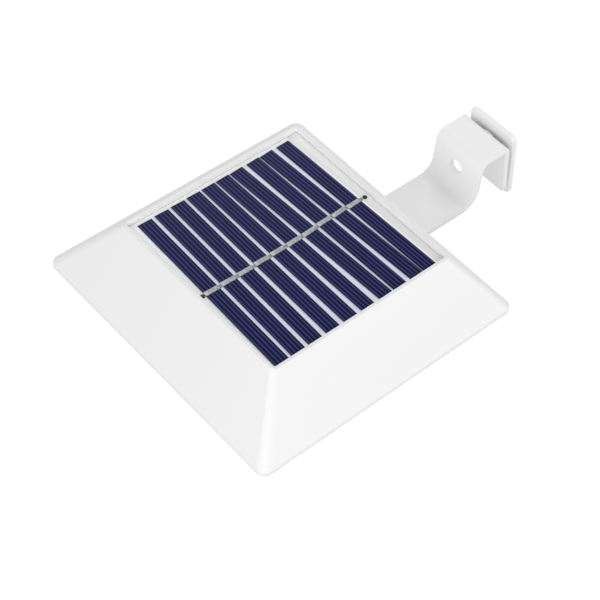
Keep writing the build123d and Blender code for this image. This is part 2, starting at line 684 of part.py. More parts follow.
def make_stop():
    """The raised stop under the hook's fold, which keeps the clamp plate's top off the leg."""
    face = leg_plane()
    fold = Vector(0, FOLD_Y, HOOK_TOP)
    fold_rise = (face.origin - fold).dot(face.y_dir)
    root = face.offset(-STRAP_THICK / 2) * Pos(0, STOP_DROP - fold_rise)
    stop = extrude(root * SlotOverall(STOP_LENGTH, STOP_HEIGHT), STRAP_THICK / 2 + STOP_PROUD)
    crown = stop.faces().sort_by(lambda f: (f.center() - face.origin).dot(face.z_dir))[-1]
    return fillet(crown.edges(), STOP_ROUND)


def make_strap():
    """The hook: arm under the lamp, riser with a hole, top and leaning leg, folded from one strap."""
    half = STRAP_THICK / 2
    lean = radians(LEG_LEAN)
    fold_y = FOLD_Y - half / cos(lean) + half * LEG_TILT
    leg = LEG_LENGTH - half
    end_y = fold_y + leg * sin(lean)
    end_z = HOOK_TOP - half - leg * cos(lean)
    route = [
        (ARM_START, ARM_TOP - half),
        (RISER_FRONT + half, ARM_TOP - half),
        (RISER_FRONT + half, HOOK_TOP - half),
        (fold_y, HOOK_TOP - half),
        (end_y, end_z),
    ]
    bends = [ARM_BEND + half, SHOULDER_BEND + half, FOLD_BEND + half]
    middle = FilletPolyline(*route, radius=bends)
    profile = Plane.YZ * trace(middle, STRAP_THICK)
    strap = extrude(profile, STRAP_WIDTH / 2, both=True)

    upright = strap.edges().filter_by(Axis.Z).group_by(Axis.Y)[0]
    strap = fillet(upright, STRAP_CORNER)
    face = leg_plane()
    tip = strap.faces().sort_by(lambda f: (f.center() - face.origin).dot(face.y_dir))[-1]
    short = tip.edges().filter_by(lambda e: abs(e.length - STRAP_THICK) < half)
    strap = fillet(short, LEG_CORNER)
    sides = strap.faces().filter_by(Axis.X).edges()
    strap = fillet(sides.filter_by(lambda e: abs(e.length - STRAP_THICK) > half), STRAP_EDGE_ROUND)
    strap += make_stop()

    riser = Plane(origin=(0, RISER_FRONT, HOLE_Z), x_dir=(1, 0, 0), z_dir=(0, 1, 0))
    strap -= extrude(riser * Circle(RISER_HOLE_RADIUS), STRAP_THICK)
    strap -= extrude(face * Circle(SCREW_RADIUS + STRAP_HOLE_CLEARANCE), -STRAP_THICK)
    for y in STRAP_SCREW_Y:
        strap -= rod(SCREW_RADIUS + STRAP_HOLE_CLEARANCE, ARM_UNDER, ARM_TOP, 0, y)
    return strap


def make_clamp_plate():
    """The clamp plate: a rounded plate beyond the leg, with a tapped boss facing it."""
    face = leg_plane()
    inner = face.offset(CLAMP_GAP)
    outline = inner * Pos(0, CLAMP_DROP) * RectangleRounded(CLAMP_WIDTH, CLAMP_HEIGHT, CLAMP_CORNER)
    plate = extrude(outline, CLAMP_THICK)
    rims = plate.faces().filter_by(face).edges()
    plate = fillet(rims, CLAMP_ROUND)
    plate += extrude(inner * Circle(CLAMP_BOSS_RADIUS), -CLAMP_BOSS_HEIGHT)
    bore = face.offset(CLAMP_GAP - CLAMP_BOSS_HEIGHT) * Circle(SCREW_RADIUS + THREAD_CLEARANCE)
    return plate - extrude(bore, CLAMP_BOSS_HEIGHT + CLAMP_THICK)


def make_clamp_screw():
    """The clamp screw: head inside the hook, facing the riser's hole, shank through leg and plate."""
    screw = pan_screw(SCREW_RADIUS, CLAMP_SCREW_LENGTH, CLAMP_HEAD_RADIUS, CLAMP_HEAD_HEIGHT)
    seat = leg_plane().offset(-STRAP_THICK - CLAMP_HEAD_GAP)
    return seat * Rot(180, 0, 0) * screw


PIECES = {
    "housing": make_housing,
    "panel_board": make_panel_board,
    "panel_seal": make_panel_seal,
    "solar_cells": make_solar_cells,
    "bus_ribbon": make_bus_ribbon,
    "solder_joints": make_solder_joints,
    "base_plate": make_base_plate,
    "base_gasket": make_base_gasket,
    "lens": make_lens,
    "reflector": make_reflector,
    "led_board": make_led_board,
    "leds": make_leds,
    "driver_chip": make_driver_chip,
    "driver_coil": make_driver_coil,
    "battery": make_battery,
    "battery_holder": make_battery_holder,
    "contact_plate": make_contact_plate,
    "contact_leaf": make_contact_leaf,
    "switch_body": make_switch_body,
    "switch_knob": make_switch_knob,
    "panel_leads": make_panel_leads,
    "battery_leads": make_battery_leads,
    "switch_leads": make_switch_leads,
    "base_screws": make_base_screws,
    "strap_screws": make_strap_screws,
    "board_screws": make_board_screws,
    "strap": make_strap,
    "clamp_plate": make_clamp_plate,
    "clamp_screw": make_clamp_screw,
}

os.makedirs("parts", exist_ok=True)
for name, make in PIECES.items():
    made = make()
    solids = made if isinstance(made, list) else [made]
    group = Compound(children=[on_seat(solid) for solid in solids])
    export_step(group, f"parts/{name}.step")
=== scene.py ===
# %% [markdown]
# # A solar railing light
# The lamp is a low white box with a solar panel on top and a steel hook that hangs it on a rail.
# Its solids come from CAD and are loaded here as a fixed frame. This lesson gives them their
# finishes, replaces the few pieces whose fine shape the solids leave out, and sets the camera and
# the light of a plain white studio.

# %% Load the fixed frame
import json

import bpy
import numpy as np
from mathutils import Matrix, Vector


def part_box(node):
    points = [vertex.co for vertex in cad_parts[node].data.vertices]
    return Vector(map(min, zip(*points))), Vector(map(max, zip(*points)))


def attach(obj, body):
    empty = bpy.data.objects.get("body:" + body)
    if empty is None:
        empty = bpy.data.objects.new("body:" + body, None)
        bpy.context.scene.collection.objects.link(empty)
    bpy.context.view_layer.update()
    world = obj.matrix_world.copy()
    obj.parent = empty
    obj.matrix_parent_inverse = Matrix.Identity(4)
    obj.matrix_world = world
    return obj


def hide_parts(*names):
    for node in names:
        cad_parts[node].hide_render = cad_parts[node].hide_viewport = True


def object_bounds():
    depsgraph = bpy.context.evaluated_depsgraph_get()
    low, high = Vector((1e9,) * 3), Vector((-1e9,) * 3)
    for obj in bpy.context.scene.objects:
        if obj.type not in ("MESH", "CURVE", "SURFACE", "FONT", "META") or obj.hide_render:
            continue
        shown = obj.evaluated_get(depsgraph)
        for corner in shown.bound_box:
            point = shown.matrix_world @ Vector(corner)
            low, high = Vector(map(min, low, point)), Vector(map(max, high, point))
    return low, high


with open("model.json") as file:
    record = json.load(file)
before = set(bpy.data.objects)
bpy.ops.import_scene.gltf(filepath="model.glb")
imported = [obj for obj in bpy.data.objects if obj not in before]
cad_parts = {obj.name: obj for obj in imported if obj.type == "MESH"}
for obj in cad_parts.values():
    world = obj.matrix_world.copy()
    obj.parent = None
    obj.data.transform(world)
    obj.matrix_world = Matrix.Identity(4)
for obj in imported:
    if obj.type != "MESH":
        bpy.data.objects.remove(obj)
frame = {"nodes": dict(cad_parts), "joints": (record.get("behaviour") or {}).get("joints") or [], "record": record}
cad_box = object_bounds()
nodes = frame["nodes"]
MM = 0.001
print("CAD nodes:", len(nodes), "box:", [list(corner) for corner in cad_box])

# %% [markdown]
# ## Where the lamp stands in the frame
# The frame's origin lies in the hook. The sizes of the panel are easier to read from the middle of
# the lamp's foot, so that point is worked out once from the housing's box, and every new piece is
# drawn about it in millimetres and then shifted.

# %% The lamp's own centre
housing_low, housing_high = (np.array(corner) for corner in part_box("housing"))
foot_centre = (housing_low + housing_high) / 2
foot_centre[2] = housing_low[2]


def in_frame(points):
    """Millimetres about the foot's centre become metres in the frame: scale, then shift."""
    return np.asarray(points, float) * MM + foot_centre


def from_foot(corner):
    """The other way round: a point of the frame, in metres, as millimetres from the foot's centre."""
    return (np.array(corner) - foot_centre) / MM


board_top = from_foot(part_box("panel_board")[1])[2]
print("foot centre (m):", foot_centre.round(5), "board top (mm):", round(board_top, 3))

# %% [markdown]
# ## The camera
# The photograph was taken from above one corner with a long lens, a little rolled. A camera could
# be placed by eye, but its angles were fitted to the eight straight edges of the housing, so they
# are given here as azimuth, elevation and roll, with the point that it looks at and the distance.
# A camera looks along its own negative Z, so the third axis of its matrix points backwards.

# %% The camera at the photograph's angle
AZIMUTH, ELEVATION, ROLL = np.radians([43.569, 50.084, 6.762])
AIM = np.array([0.006933, -0.08910, -0.01828])
DISTANCE = 0.60597
LENS_MM, SENSOR_MM = 104.06, 36.0
NEAR_CLIP = 0.01


def placed(side, upward, backward, place):
    """The matrix of a camera or a light: its own three axes as columns, then its place."""
    matrix = Matrix(np.column_stack([side, upward, backward])).to_4x4()
    matrix.translation = place
    return matrix


forward = np.array([
    -np.sin(AZIMUTH) * np.cos(ELEVATION),
    np.cos(AZIMUTH) * np.cos(ELEVATION),
    -np.sin(ELEVATION),
])
level = np.array([np.cos(AZIMUTH), np.sin(AZIMUTH), 0.0])
upright = np.cross(level, forward)
right = np.cos(ROLL) * level + np.sin(ROLL) * upright
upward = np.cos(ROLL) * upright - np.sin(ROLL) * level
camera_data = bpy.data.cameras.new("camera")
camera_data.lens = LENS_MM
camera_data.sensor_width = SENSOR_MM
camera_data.clip_start = NEAR_CLIP
camera = bpy.data.objects.new("camera", camera_data)
camera.matrix_world = placed(right, upward, -forward, AIM - forward * DISTANCE)
bpy.context.scene.collection.objects.link(camera)
bpy.context.scene.camera = camera
print("camera at (m):", camera.matrix_world.translation)

# %% [markdown]
# ## Colours and pattern sizes
# Colours are picked as sRGB hex values, the way a screen shows them, while a shader works in linear
# light. One function makes that change. Another turns the real size of a pattern, in millimetres,
# into the scale that a texture node asks for.

# %% From hex values and millimetres to shader values
SRGB_KNEE = 0.04045
SRGB_FOOT = 12.92
SRGB_LIFT = 0.055
SRGB_POWER = 2.4
FULL_BYTE = 255


def linear(code):
    """An sRGB hex value as linear red, green, blue and full alpha."""
    shown = np.array([int(code[place:place + 2], 16) for place in (1, 3, 5)]) / FULL_BYTE
    curve = ((shown + SRGB_LIFT) / (1 + SRGB_LIFT)) ** SRGB_POWER
    return (*np.where(shown <= SRGB_KNEE, shown / SRGB_FOOT, curve), 1.0)


def per_mm(size):
    """The texture scale, in repeats per metre, of a pattern whose size is in millimetres."""
    return 1 / (size * MM)


print("half grey on the screen is", round(linear("#808080")[0], 3), "in linear light")

# %% [markdown]
# ## Nodes
# A material is a small tree of nodes. One function adds any node with its settings and links, so each
# material below reads as a short list of what it is made of. Two more start a tree with its Object
# coordinates and end it with the Principled shader. The sockets of a Mix node for colours share their
# names with those for numbers, so they are called by their places.

# %% Helpers for materials
MIX_A, MIX_B, MIX_COLOUR = 6, 7, 2


def add(tree, kind, values=None, **settings):
    """Add a node: settings go on the node, values on its inputs, and a socket as value is linked."""
    node = tree.nodes.new("ShaderNode" + kind)
    for name, value in settings.items():
        setattr(node, name, value)
    for name, value in (values or {}).items():
        if isinstance(value, bpy.types.NodeSocket):
            tree.links.new(value, node.inputs[name])
        else:
            node.inputs[name].default_value = value
    return node


def start(name):
    """A new material: its tree, its Object coordinates and a place for its surface."""
    material = bpy.data.materials.new(name)
    material.use_nodes = True
    tree = material.node_tree
    tree.nodes.clear()
    place = add(tree, "TexCoord").outputs["Object"]
    output = add(tree, "OutputMaterial")
    return material, tree, place, output.inputs["Surface"]


def finish_with(tree, surface, values):
    """The Principled shader, with constants and links on its own sockets, joined to the output."""
    shader = add(tree, "BsdfPrincipled", values)
    tree.links.new(shader.outputs["BSDF"], surface)


print("a colour Mix takes sockets", MIX_A, "and", MIX_B, "and gives", MIX_COLOUR)

# %% [markdown]
# ## A recipe for grained finishes
# Most pieces are moulded or coated: seen close, their colour is never quite even, their gloss
# varies a little, and they carry a fine relief from the mould, the spray or the press. One recipe
# serves them all: a soft noise at the size of that grain moves colour, roughness and relief
# together. Painting these by hand would look no better at this size and would need image files.
# The housing comes first. The crest of its rim gets painted shade, a little grey along its top, so the recipe can
# also tone a finish by height.

# %% The recipe, and the housing's ABS
SHADE_START, SHADE_FULL = 0.3, 0.05


def grained(name, colours, grain_mm, roughness, relief_mm, ior, extra=None, crest=None):
    """Noise of one grain size mixes two colours, moves roughness between two values, and lifts relief.

    A crest is two heights in metres and a colour of painted shade that the finish greys to between them.
    """
    material, tree, place, surface = start(name)
    grain = {"Vector": place, "Scale": per_mm(grain_mm), "Detail": 3.0}
    noise = add(tree, "TexNoise", grain).outputs["Fac"]
    colour = add(tree, "Mix", {
        "Factor": noise, MIX_A: linear(colours[0]), MIX_B: linear(colours[1]),
    }, data_type="RGBA").outputs[MIX_COLOUR]
    # Painted shade: the finish turns grey towards the top of a crest.
    if crest is not None:
        low, high, shaded = crest
        height = add(tree, "SeparateXYZ", {"Vector": place}).outputs["Z"]
        crest_shading = add(tree, "MapRange", {"Value": height, "From Min": low, "From Max": high}).outputs["Result"]
        colour = add(tree, "Mix", {
            "Factor": crest_shading, MIX_A: colour, MIX_B: linear(shaded),
        }, data_type="RGBA").outputs[MIX_COLOUR]
    gloss = add(tree, "MapRange", {
        "Value": noise, "To Min": roughness[0], "To Max": roughness[1],
    }).outputs["Result"]
    relief = add(tree, "Bump", {
        "Height": noise, "Strength": 1.0, "Distance": relief_mm * MM,
    }).outputs["Normal"]
    values = {"Base Color": colour, "Roughness": gloss, "Normal": relief, "IOR": ior}
    finish_with(tree, surface, {**values, **(extra or {})})
    return material


# Moulded ABS: a satin white with the fine spark-eroded grain of the mould, drawn coarser than real. The
# crest of the rim is painted a little grey: painted shade along the top face of the rim.
rim_crest_shade = (housing_high[2] - SHADE_START * MM, housing_high[2] - SHADE_FULL * MM, "#E8E8E8")
finishes = {"white_abs": grained(
    "moulded_white_abs", ("#F1F1F1", "#F5F5F5"), 0.5, (0.30, 0.38), 0.003, 1.54, crest=rim_crest_shade)}
print("housing finish: moulded_white_abs, worn from", SHADE_START, "mm below the crest")

# %% [markdown]
# ## The other grained finishes
# The same recipe gives the powder coat on the hook, the rubber, the sealant and the small plastic parts.
# Each row names the material, then its two colours, the grain in millimetres, the range of its
# roughness, the relief in millimetres and the index of refraction, so that they can be compared.

# %% Coat, sealant, rubber, plastics and ferrite
GRAINED = {
    # Powder coat: baked on steel, glossy, with the shallow orange peel that the melted powder leaves.
    "white_powder_coat": (
        "white_powder_coated_steel", ("#EFEFEF", "#F4F4F4"), 0.9, (0.30, 0.40), 0.012, 1.50),
    # Silicone sealant: cured from a tube, dull and slightly wavy.
    "silicone": ("cured_white_silicone", ("#DADAD8", "#E6E6E3"), 1.2, (0.50, 0.65), 0.03, 1.41),
    # Rubber ring: moulded, black and matt, with talc left in its grain.
    "rubber_seal": ("moulded_black_rubber", ("#151515", "#242424"), 0.4, (0.70, 0.85), 0.01, 1.52),
    # Reflector: moulded polystyrene, a glossy white.
    "white_reflector": (
        "moulded_white_polystyrene", ("#F0F0EE", "#F6F6F4"), 2.0, (0.20, 0.28), 0.003, 1.59),
    # Chip: transfer-moulded epoxy, near black with a matt stone grain.
    "black_epoxy": ("moulded_black_epoxy", ("#141414", "#262626"), 0.25, (0.55, 0.7), 0.006, 1.55),
    # Coil: ferrite, pressed and sintered from powder, dark grey and stony.
    "ferrite": ("sintered_grey_ferrite", ("#2B2B2D", "#454549"), 0.3, (0.6, 0.8), 0.015, 1.55),
    # Holder and switch case: moulded black plastic with a fine mould grain.
    "black_plastic": ("moulded_black_plastic", ("#191919", "#222222"), 0.4, (0.4, 0.5), 0.006, 1.53),
    # Switch knob: black acetal, polished a little by fingers.
    "switch_plastic": ("moulded_black_acetal", ("#1A1A1A", "#242424"), 0.6, (0.3, 0.42), 0.004, 1.48),
    # End joints of the panel: solder under burnt flux, nearly black and half glossy.
    "solder": ("flux_darkened_solder", ("#0C0C0C", "#1C1B1A"), 0.5, (0.35, 0.5), 0.03, 1.5),
}
for slot, recipe in GRAINED.items():
    finishes[slot] = grained(*recipe)
print("grained finishes:", len(finishes))

# %% [markdown]
# ## Zinc plate
# The screws are steel with a bright zinc plate. The plating bath leaves a faint mottle on it, which a
# noise of less than a millimetre gives to both colour and gloss. A plain metal shader would look like
# chrome.

# %% Zinc plated steel
ZINC_MOTTLE_MM = 0.7
material, tree, place, surface = start("zinc_plated_steel")
mottling = {"Vector": place, "Scale": per_mm(ZINC_MOTTLE_MM), "Detail": 4.0}
mottle = add(tree, "TexNoise", mottling).outputs["Fac"]
colour = add(tree, "Mix", {
    "Factor": mottle, MIX_A: linear("#B4B6B8"), MIX_B: linear("#D2D3D3"),
}, data_type="RGBA").outputs[MIX_COLOUR]
gloss = add(tree, "MapRange", {"Value": mottle, "To Min": 0.22, "To Max": 0.38}).outputs["Result"]
finish_with(tree, surface, {"Base Color": colour, "Roughness": gloss, "Metallic": 1.0})
finishes["zinc_steel"] = material
print("screw finish:", material.name)

# %% [markdown]
# ## Rolled nickel
# The battery contacts are nickel plated strip, with fine lines along the way it was rolled. A noise
# stretched by a Mapping node gives those lines: millimetres long in one direction and a fraction of a
# millimetre in the others. An anisotropic metal would stretch its highlights but show no lines.

# %% Nickel plated strip
ROLL_LINE_MM, ROLL_RUN_MM = 0.15, 6.0
material, tree, place, surface = start("nickel_plated_strip")
along = add(tree, "Mapping", {
    "Vector": place, "Scale": (per_mm(ROLL_LINE_MM), per_mm(ROLL_LINE_MM), per_mm(ROLL_RUN_MM)),
}).outputs["Vector"]
lines = add(tree, "TexNoise", {"Vector": along, "Scale": 1.0, "Detail": 2.0}).outputs["Fac"]
colour = add(tree, "Mix", {
    "Factor": lines, MIX_A: linear("#B9B5AB"), MIX_B: linear("#D5D1C6"),
}, data_type="RGBA").outputs[MIX_COLOUR]
gloss = add(tree, "MapRange", {"Value": lines, "To Min": 0.2, "To Max": 0.35}).outputs["Result"]
finish_with(tree, surface, {"Base Color": colour, "Roughness": gloss, "Metallic": 1.0})
finishes["nickel_contact"] = material
print("contact finish:", material.name)

# %% [markdown]
# ## The circuit board and its emitters
# The board shows only when the lamp is taken apart: green solder mask, lighter over the copper fields
# and dark in the gaps between them. The edges of Voronoi cells draw such gaps without any drawing of a
# circuit. The emitters carry yellow phosphor powder in clear resin, grainy and a little translucent.

# %% Solder mask and phosphor
COPPER_FIELD_MM = 3.0
COPPER_GAP = 0.03
MASK_RELIEF_MM = 0.03
material, tree, place, surface = start("green_solder_mask")
to_gap = add(tree, "TexVoronoi", {
    "Vector": place, "Scale": per_mm(COPPER_FIELD_MM),
}, feature="DISTANCE_TO_EDGE").outputs["Distance"]
copper = add(tree, "Math", {0: to_gap, 1: COPPER_GAP}, operation="GREATER_THAN").outputs["Value"]
colour = add(tree, "Mix", {
    "Factor": copper, MIX_A: linear("#0B3A1E"), MIX_B: linear("#14582F"),
}, data_type="RGBA").outputs[MIX_COLOUR]
relief = add(tree, "Bump", {"Height": copper, "Distance": MASK_RELIEF_MM * MM}).outputs["Normal"]
finish_with(tree, surface, {"Base Color": colour, "Roughness": 0.3, "IOR": 1.52, "Normal": relief})
finishes["circuit_board"] = material

PHOSPHOR_DEPTH = {"Subsurface Weight": 0.2, "Subsurface Radius": (0.0004, 0.0003, 0.0001)}
finishes["led_phosphor"] = grained(
    "yellow_phosphor", ("#E3B62A", "#F4D362"), 0.2, (0.35, 0.5), 0.01, 1.50, PHOSPHOR_DEPTH)
print("board finishes:", material.name, finishes["led_phosphor"].name)

# %% [markdown]
# ## The sleeved cell
# The rechargeable cell is a steel can in a shrink sleeve: blue, with a pale band at the positive end,
# where the bare can shows last. The Object coordinate along the cell decides which is seen. Three
# separate pieces would do as well, but the CAD cell is one node and stays as it is.

# %% Sleeve, band and can
BAND_LENGTH, CAN_LENGTH = 9.0, 1.6
cell_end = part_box("battery")[1].x
band_start = cell_end - BAND_LENGTH * MM
can_start = cell_end - CAN_LENGTH * MM
material, tree, place, surface = start("shrink_sleeved_cell")
along = add(tree, "SeparateXYZ", {"Vector": place}).outputs["X"]
band = add(tree, "Math", {0: along, 1: band_start}, operation="GREATER_THAN").outputs["Value"]
can = add(tree, "Math", {0: along, 1: can_start}, operation="GREATER_THAN").outputs["Value"]
sleeve = add(tree, "Mix", {
    "Factor": band, MIX_A: linear("#1C5C8C"), MIX_B: linear("#D9DCDD"),
}, data_type="RGBA").outputs[MIX_COLOUR]
colour = add(tree, "Mix", {
    "Factor": can, MIX_A: sleeve, MIX_B: linear("#C9C6BE"),
}, data_type="RGBA").outputs[MIX_COLOUR]
finish_with(tree, surface, {"Base Color": colour, "Metallic": can, "Roughness": 0.28, "IOR": 1.53})
finishes["battery_wrap"] = material
print("cell finish:", material.name, "band from (m):", round(band_start, 4))

# %% [markdown]
# ## Red and black wires
# Each pair of leads has one red and one black wire in plain PVC. The two wires of a pair lie side by
# side, so the place across the lamp tells them apart. Black is the one left of the middle or, in the
# switch's pair, which lies far to the right, the outer one. Two plain finishes would do, but a pair is
# one CAD node and takes one finish.

# %% PVC wires
switch_leads_low, switch_leads_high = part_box("switch_leads")
wire_parting = (switch_leads_low.x + switch_leads_high.x) / 2
material, tree, place, surface = start("extruded_pvc_wire")
across = add(tree, "SeparateXYZ", {"Vector": place}).outputs["X"]
outer = add(tree, "Math", {0: across, 1: wire_parting}, operation="GREATER_THAN").outputs["Value"]
inner = add(tree, "Math", {0: across, 1: 0.0}, operation="LESS_THAN").outputs["Value"]
black = add(tree, "Math", {0: outer, 1: inner}, operation="MAXIMUM").outputs["Value"]
colour = add(tree, "Mix", {
    "Factor": black, MIX_A: linear("#A81E1E"), MIX_B: linear("#1B1B1B"),
}, data_type="RGBA").outputs[MIX_COLOUR]
finish_with(tree, surface, {"Base Color": colour, "Roughness": 0.4, "IOR": 1.53})
finishes["wire_pvc"] = material
print("wire finish:", material.name, "parting at (m):", round(wire_parting, 4))

# %% [markdown]
# ## The frosted lens
# The window below is moulded in clear polycarbonate and frosted by an etched mould, so it passes
# light and blurs the emitters behind it to soft dots. A rough transmission does that: light goes
# through and scatters, where a plain white would hide the emitters. The real frost is finer than a
# pixel and is drawn at a third of a millimetre.

# %% Frosted polycarbonate
FROST_MM, FROST_RELIEF_MM = 0.33, 0.01
material, tree, place, surface = start("frosted_polycarbonate")
frost = add(tree, "TexNoise", {"Vector": place, "Scale": per_mm(FROST_MM), "Detail": 2.0}).outputs["Fac"]
gloss = add(tree, "MapRange", {"Value": frost, "To Min": 0.24, "To Max": 0.36}).outputs["Result"]
relief = add(tree, "Bump", {"Height": frost, "Distance": FROST_RELIEF_MM * MM}).outputs["Normal"]
finish_with(tree, surface, {
    "Base Color": linear("#F4F4F0"), "Roughness": gloss, "Normal": relief,
    "IOR": 1.585, "Transmission Weight": 0.76,
})
finishes["frosted_lens"] = material
print("lens finish:", material.name)

# %% [markdown]
# ## The panel's board
# The cells lie on a white laminate board under a clear film. It is smooth and as white as the
# housing, and a fine noise gives the paper-like core. Between the strips the white is painted a little
# darker and bluer: painted shade from the strips at both sides and a painted blue reflection of the
# navy cells. A mask that measures from the lamp's middle keeps that tint off the margin. The same mask will serve
# the borders of the cells.

# %% White laminate, tinted between the strips
CORE_MM = 0.6
FIELD_LENGTH, FIELD_WIDTH, FIELD_SOFT = 74.0, 68.4, 1.0


def near_sides(tree, from_middle, halves, band):
    """0 inside a rectangle given by its half sizes, rising to 1 at its sides over a band, and 1 outside."""
    away = add(tree, "VectorMath", {0: from_middle}, operation="ABSOLUTE").outputs["Vector"]
    away = add(tree, "SeparateXYZ", {"Vector": away}).outputs
    rises = [add(tree, "MapRange", {
        "Value": away[side], "From Min": half - band, "From Max": half,
    }, interpolation_type="SMOOTHSTEP").outputs["Result"] for side, half in zip("XY", halves)]
    return add(tree, "Math", {0: rises[0], 1: rises[1]}, operation="MAXIMUM").outputs["Value"]


material, tree, place, surface = start("white_laminate_board")
core = add(tree, "TexNoise", {"Vector": place, "Scale": per_mm(CORE_MM), "Detail": 3.0}).outputs["Fac"]
paper = add(tree, "Mix", {
    "Factor": core, MIX_A: linear("#F2F2F2"), MIX_B: linear("#F8F8F8"),
}, data_type="RGBA").outputs[MIX_COLOUR]
# Painted shade and a painted blue reflection of the navy cells, multiplied over the white between the strips.
gap_shade_and_reflection = add(tree, "Mix", {
    "Factor": 1.0, MIX_A: paper, MIX_B: linear("#E2E6F2"),
}, data_type="RGBA", blend_type="MULTIPLY").outputs[MIX_COLOUR]
from_middle = add(tree, "VectorMath", {0: place, 1: foot_centre}, operation="SUBTRACT").outputs["Vector"]
field = (FIELD_LENGTH / 2 * MM, FIELD_WIDTH / 2 * MM)
margin = near_sides(tree, from_middle, field, FIELD_SOFT * MM)
white = add(tree, "Mix", {
    "Factor": margin, MIX_A: gap_shade_and_reflection, MIX_B: paper,
}, data_type="RGBA").outputs[MIX_COLOUR]
print("tinted field (mm):", FIELD_LENGTH, "x", FIELD_WIDTH)

# %% [markdown]
# ## The board's bare margin
# Beyond the last strip the margin is wide, and it is painted a plain pale grey that starts along the
# strip's own edge and fades into the white sealant at the wall. The distance square to that strip is a
# dot product, and two ramps on it make the grey come and go. A wide, shallow noise adds the wave of the
# film. The nodes go on in the tree that the step before began.

# %% Grey margin and the film's wave
LAST_STRIP_TURN = np.radians(1.5)
MARGIN_START, MARGIN_FULL, MARGIN_END = 34.3, 35.0, 38.2
FILM_WAVE_MM, FILM_RELIEF_MM = 9.0, 0.05
outward = add(tree, "VectorMath", {
    0: from_middle, 1: (-np.sin(LAST_STRIP_TURN), np.cos(LAST_STRIP_TURN), 0.0),
}, operation="DOT_PRODUCT").outputs["Value"]
come = add(tree, "MapRange", {
    "Value": outward, "From Min": MARGIN_START * MM, "From Max": MARGIN_FULL * MM,
}, interpolation_type="SMOOTHSTEP").outputs["Result"]
stay = add(tree, "MapRange", {
    "Value": outward, "From Min": MARGIN_FULL * MM, "From Max": MARGIN_END * MM, "To Min": 1.0, "To Max": 0.0,
}).outputs["Result"]
bare = add(tree, "Math", {0: come, 1: stay}, operation="MULTIPLY").outputs["Value"]
colour = add(tree, "Mix", {
    "Factor": bare, MIX_A: white, MIX_B: linear("#DCDCDC"),
}, data_type="RGBA").outputs[MIX_COLOUR]
waving = {"Vector": place, "Scale": per_mm(FILM_WAVE_MM), "Detail": 1.0}
wave = add(tree, "TexNoise", waving).outputs["Fac"]
relief = add(tree, "Bump", {"Height": wave, "Distance": FILM_RELIEF_MM * MM}).outputs["Normal"]
finish_with(tree, surface, {"Base Color": colour, "Roughness": 0.35, "IOR": 1.50, "Normal": relief})
finishes["panel_laminate"] = material
print("board finish:", material.name, "bare margin (mm):", MARGIN_START, "to", MARGIN_END)

# %% [markdown]
# ## Dressing the CAD pieces
# The record says which finish each CAD node has. A node whose shape is right only needs that finish
# on its material slots; its mesh is never touched.

# %% Put the finishes on the CAD nodes
slot_of = {part["node"]: part["material_slot"] for part in frame["record"]["subparts"]}
dressed = [name for name in nodes if slot_of[name] in finishes]
for name in dressed:
    for slot in nodes[name].material_slots:
        slot.material = finishes[slot_of[name]]
print("dressed:", sorted(dressed))

# %% [markdown]
# ## Closed shells from rings
# Every new piece here is a closed shell: a ring of points carried along a path, closed at both ends
# by one point in the middle of the last ring. The points are one array of rings, so a shape is a
# formula in two parameters, and the faces follow from counting. A negative volume tells that the
# rings ran the wrong way round, and then the faces are turned.

# %% Faces, volume and ends of a shell
def shell_faces(rings, around):
    """Quads between neighbouring rings, and a fan of triangles to the middle point of each end."""
    step = np.arange(around)
    after = (step + 1) % around
    base = np.arange(rings - 1)[:, None] * around
    quads = np.stack([base + step, base + after, base + around + after, base + around + step], -1)
    last = (rings - 1) * around
    first_cap = np.stack([after, step, np.full(around, rings * around)], -1)
    last_cap = np.stack([last + step, last + after, np.full(around, rings * around + 1)], -1)
    return quads.reshape(-1, 4), np.concatenate([first_cap, last_cap])


def signed_volume(points, quads, fans):
    """Sum of the corner triple products of all triangles over six: negative if faces point inwards."""
    triangles = np.concatenate([quads[:, :3], quads[:, [0, 2, 3]], fans])
    a, b, c = (points[triangles[:, corner]] for corner in range(3))
    return np.einsum("ij,ij->", a, np.cross(b, c)) / 6


def with_ends(rings):
    """The points of all rings in one list, followed by the middle of the first and of the last ring."""
    ends = np.stack([rings[0].mean(0), rings[-1].mean(0)])
    return np.concatenate([rings.reshape(-1, rings.shape[-1]), ends])


print("4 rings of 6 points give", [len(faces) for faces in shell_faces(4, 6)], "quads and triangles")

# %% [markdown]
# ## From shells to a piece
# Blender's own primitives could be joined and bent, but a mesh from whole arrays is exact and quick.
# The piece gets its finish, rides on its body, and stands for the CAD node that it replaces. Its maps
# are flat coordinates along its own surface, for patterns that follow the piece and not the lamp.

# %% Helper that makes a piece
def make_piece(name, shells, slot, body, node, smooth_degrees=None, maps=None):
    """One object from shells of rings (ring, around, xyz) in metres, riding on a body for a CAD node.

    Each map gives every shell a flat coordinate (ring, around, uv) that a shader can read by its name.
    """
    points, faces = [], []
    count = 0
    for rings in shells:
        own = with_ends(rings)
        quads, fans = shell_faces(*rings.shape[:2])
        if signed_volume(own - own.mean(0), quads, fans) < 0:
            quads, fans = quads[:, ::-1], fans[:, ::-1]
        points.append(own)
        faces += (quads + count).tolist() + (fans + count).tolist()
        count += len(own)
    mesh = bpy.data.meshes.new(name)
    mesh.from_pydata(np.concatenate(points), [], faces)
    corners = np.zeros(len(mesh.loops), np.int32)
    mesh.loops.foreach_get("vertex_index", corners)
    for title, flat in (maps or {}).items():
        layer = mesh.uv_layers.new(name=title)
        coords = np.concatenate([with_ends(rings) for rings in flat])
        layer.uv.foreach_set("vector", coords[corners].astype(np.float32).ravel())
    if smooth_degrees is not None:
        mesh.shade_smooth()
        mesh.set_sharp_from_angle(angle=np.radians(smooth_degrees))
    mesh.materials.append(finishes[slot])
    piece = bpy.data.objects.new(name, mesh)
    bpy.context.scene.collection.objects.link(piece)
    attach(piece, body)
    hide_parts(node)
    print(name, "points:", count, "faces:", len(faces))


print("finishes ready for pieces:", sorted(finishes))

